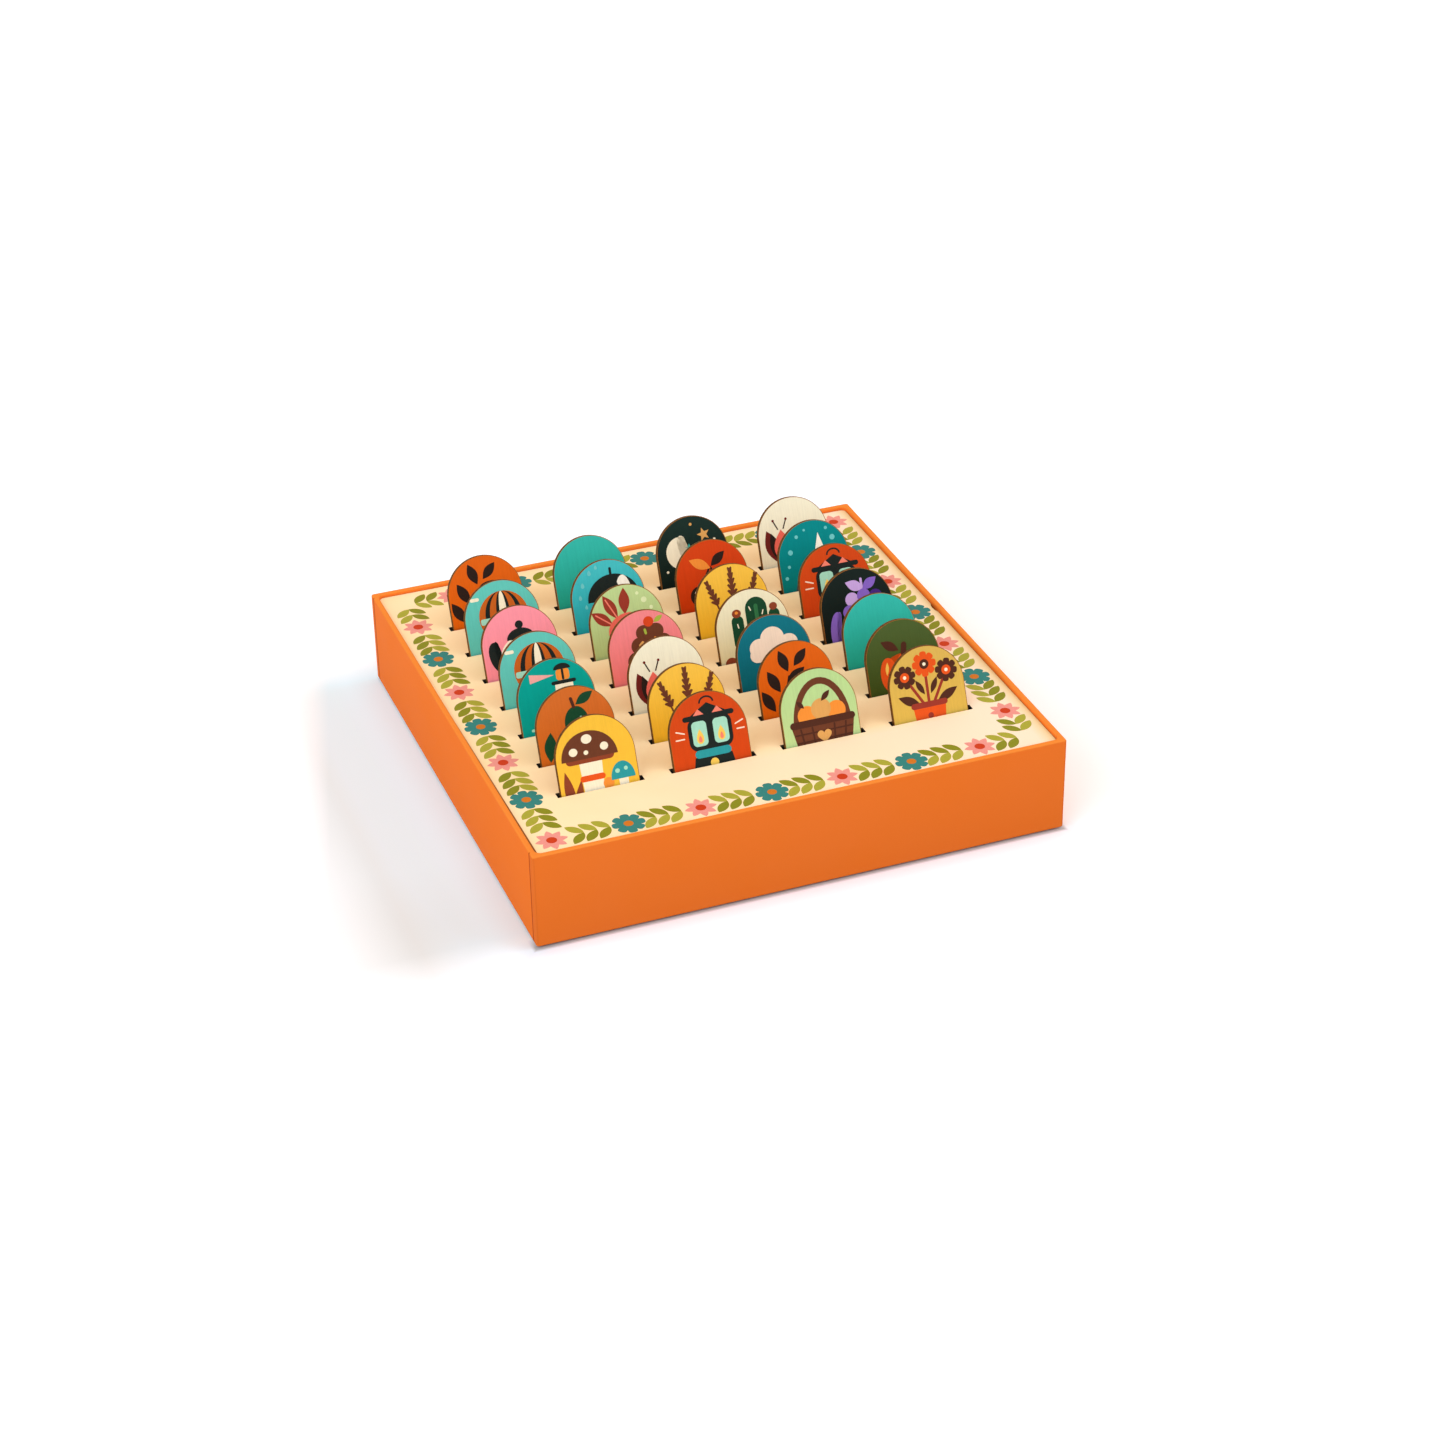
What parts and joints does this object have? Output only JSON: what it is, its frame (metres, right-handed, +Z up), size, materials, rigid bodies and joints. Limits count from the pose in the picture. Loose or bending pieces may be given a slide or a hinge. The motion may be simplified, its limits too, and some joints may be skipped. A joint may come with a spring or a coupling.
{
  "type": "memory card game",
  "caption": "Memory game: wrapped cardboard tray with a lift-out slotted platform that holds arch-topped picture cards, each leaning back in its own slot.",
  "frame": {"origin": "middle of the tray's underside", "axes": "+Z up; the cards' picture sides face -Y, towards the player; +X to the player's right"},
  "size_m": [0.28, 0.28, 0.083],
  "materials": {
    "wrap_paper": "smooth orange wrap paper with a fine grain",
    "greyboard": "raw compressed cardboard",
    "liner_paper": "cream lining paper",
    "stay_paper": "gummed kraft tape",
    "deck_paper": "cream printed paper with a border of leaves and flowers",
    "black_foam": "black closed-cell foam",
    "plywood": "thin plywood with a printed face and dark laser-cut edges"
  },
  "bodies": {
    "tray": {"base_paper": "wrap_paper", "floor_board": "greyboard", "floor_liner": "liner_paper", "front_wall_board": "greyboard", "back_wall_board": "greyboard", "left_wall_board": "greyboard", "right_wall_board": "greyboard", "corner_stays": "stay_paper", "side_wrap": "wrap_paper"},
    "platform": {"deck_print": "deck_paper", "deck_board": "greyboard", "slot_block": "black_foam", "foot_board": "greyboard", "front_riser": "greyboard", "back_riser": "greyboard", "left_riser": "greyboard", "right_riser": "greyboard", "left_rib": "greyboard", "right_rib": "greyboard"},
    "card_r1c1": {"card_r1c1": "plywood"},
    "card_r1c2": {"card_r1c2": "plywood"},
    "card_r1c3": {"card_r1c3": "plywood"},
    "card_r1c4": {"card_r1c4": "plywood"},
    "card_r2c1": {"card_r2c1": "plywood"},
    "card_r2c2": {"card_r2c2": "plywood"},
    "card_r2c3": {"card_r2c3": "plywood"},
    "card_r2c4": {"card_r2c4": "plywood"},
    "card_r3c1": {"card_r3c1": "plywood"},
    "card_r3c2": {"card_r3c2": "plywood"},
    "card_r3c3": {"card_r3c3": "plywood"},
    "card_r3c4": {"card_r3c4": "plywood"},
    "card_r4c1": {"card_r4c1": "plywood"},
    "card_r4c2": {"card_r4c2": "plywood"},
    "card_r4c3": {"card_r4c3": "plywood"},
    "card_r4c4": {"card_r4c4": "plywood"},
    "card_r5c1": {"card_r5c1": "plywood"},
    "card_r5c2": {"card_r5c2": "plywood"},
    "card_r5c3": {"card_r5c3": "plywood"},
    "card_r5c4": {"card_r5c4": "plywood"},
    "card_r6c1": {"card_r6c1": "plywood"},
    "card_r6c2": {"card_r6c2": "plywood"},
    "card_r6c3": {"card_r6c3": "plywood"},
    "card_r6c4": {"card_r6c4": "plywood"},
    "card_r7c1": {"card_r7c1": "plywood"},
    "card_r7c2": {"card_r7c2": "plywood"},
    "card_r7c3": {"card_r7c3": "plywood"},
    "card_r7c4": {"card_r7c4": "plywood"}
  },
  "joints": [
    {"name": "platform_lift", "type": "slide", "parent": "tray", "child": "platform", "axis": [0, 0, 1], "range_m": [0, 0.055]},
    {"name": "card_r1c1_lift", "type": "slide", "parent": "platform", "child": "card_r1c1", "axis": [0, 0.3827, 0.9239], "range_m": [0, 0.025]},
    {"name": "card_r1c2_lift", "type": "slide", "parent": "platform", "child": "card_r1c2", "axis": [0, 0.3827, 0.9239], "range_m": [0, 0.025]},
    {"name": "card_r1c3_lift", "type": "slide", "parent": "platform", "child": "card_r1c3", "axis": [0, 0.3827, 0.9239], "range_m": [0, 0.025]},
    {"name": "card_r1c4_lift", "type": "slide", "parent": "platform", "child": "card_r1c4", "axis": [0, 0.3827, 0.9239], "range_m": [0, 0.025]},
    {"name": "card_r2c1_lift", "type": "slide", "parent": "platform", "child": "card_r2c1", "axis": [0, 0.3827, 0.9239], "range_m": [0, 0.025]},
    {"name": "card_r2c2_lift", "type": "slide", "parent": "platform", "child": "card_r2c2", "axis": [0, 0.3827, 0.9239], "range_m": [0, 0.025]},
    {"name": "card_r2c3_lift", "type": "slide", "parent": "platform", "child": "card_r2c3", "axis": [0, 0.3827, 0.9239], "range_m": [0, 0.025]},
    {"name": "card_r2c4_lift", "type": "slide", "parent": "platform", "child": "card_r2c4", "axis": [0, 0.3827, 0.9239], "range_m": [0, 0.025]},
    {"name": "card_r3c1_lift", "type": "slide", "parent": "platform", "child": "card_r3c1", "axis": [0, 0.3827, 0.9239], "range_m": [0, 0.025]},
    {"name": "card_r3c2_lift", "type": "slide", "parent": "platform", "child": "card_r3c2", "axis": [0, 0.3827, 0.9239], "range_m": [0, 0.025]},
    {"name": "card_r3c3_lift", "type": "slide", "parent": "platform", "child": "card_r3c3", "axis": [0, 0.3827, 0.9239], "range_m": [0, 0.025]},
    {"name": "card_r3c4_lift", "type": "slide", "parent": "platform", "child": "card_r3c4", "axis": [0, 0.3827, 0.9239], "range_m": [0, 0.025]},
    {"name": "card_r4c1_lift", "type": "slide", "parent": "platform", "child": "card_r4c1", "axis": [0, 0.3827, 0.9239], "range_m": [0, 0.025]},
    {"name": "card_r4c2_lift", "type": "slide", "parent": "platform", "child": "card_r4c2", "axis": [0, 0.3827, 0.9239], "range_m": [0, 0.025]},
    {"name": "card_r4c3_lift", "type": "slide", "parent": "platform", "child": "card_r4c3", "axis": [0, 0.3827, 0.9239], "range_m": [0, 0.025]},
    {"name": "card_r4c4_lift", "type": "slide", "parent": "platform", "child": "card_r4c4", "axis": [0, 0.3827, 0.9239], "range_m": [0, 0.025]},
    {"name": "card_r5c1_lift", "type": "slide", "parent": "platform", "child": "card_r5c1", "axis": [0, 0.3827, 0.9239], "range_m": [0, 0.025]},
    {"name": "card_r5c2_lift", "type": "slide", "parent": "platform", "child": "card_r5c2", "axis": [0, 0.3827, 0.9239], "range_m": [0, 0.025]},
    {"name": "card_r5c3_lift", "type": "slide", "parent": "platform", "child": "card_r5c3", "axis": [0, 0.3827, 0.9239], "range_m": [0, 0.025]},
    {"name": "card_r5c4_lift", "type": "slide", "parent": "platform", "child": "card_r5c4", "axis": [0, 0.3827, 0.9239], "range_m": [0, 0.025]},
    {"name": "card_r6c1_lift", "type": "slide", "parent": "platform", "child": "card_r6c1", "axis": [0, 0.3827, 0.9239], "range_m": [0, 0.025]},
    {"name": "card_r6c2_lift", "type": "slide", "parent": "platform", "child": "card_r6c2", "axis": [0, 0.3827, 0.9239], "range_m": [0, 0.025]},
    {"name": "card_r6c3_lift", "type": "slide", "parent": "platform", "child": "card_r6c3", "axis": [0, 0.3827, 0.9239], "range_m": [0, 0.025]},
    {"name": "card_r6c4_lift", "type": "slide", "parent": "platform", "child": "card_r6c4", "axis": [0, 0.3827, 0.9239], "range_m": [0, 0.025]},
    {"name": "card_r7c1_lift", "type": "slide", "parent": "platform", "child": "card_r7c1", "axis": [0, 0.3827, 0.9239], "range_m": [0, 0.025]},
    {"name": "card_r7c2_lift", "type": "slide", "parent": "platform", "child": "card_r7c2", "axis": [0, 0.3827, 0.9239], "range_m": [0, 0.025]},
    {"name": "card_r7c3_lift", "type": "slide", "parent": "platform", "child": "card_r7c3", "axis": [0, 0.3827, 0.9239], "range_m": [0, 0.025]},
    {"name": "card_r7c4_lift", "type": "slide", "parent": "platform", "child": "card_r7c4", "axis": [0, 0.3827, 0.9239], "range_m": [0, 0.025]}
  ]
}
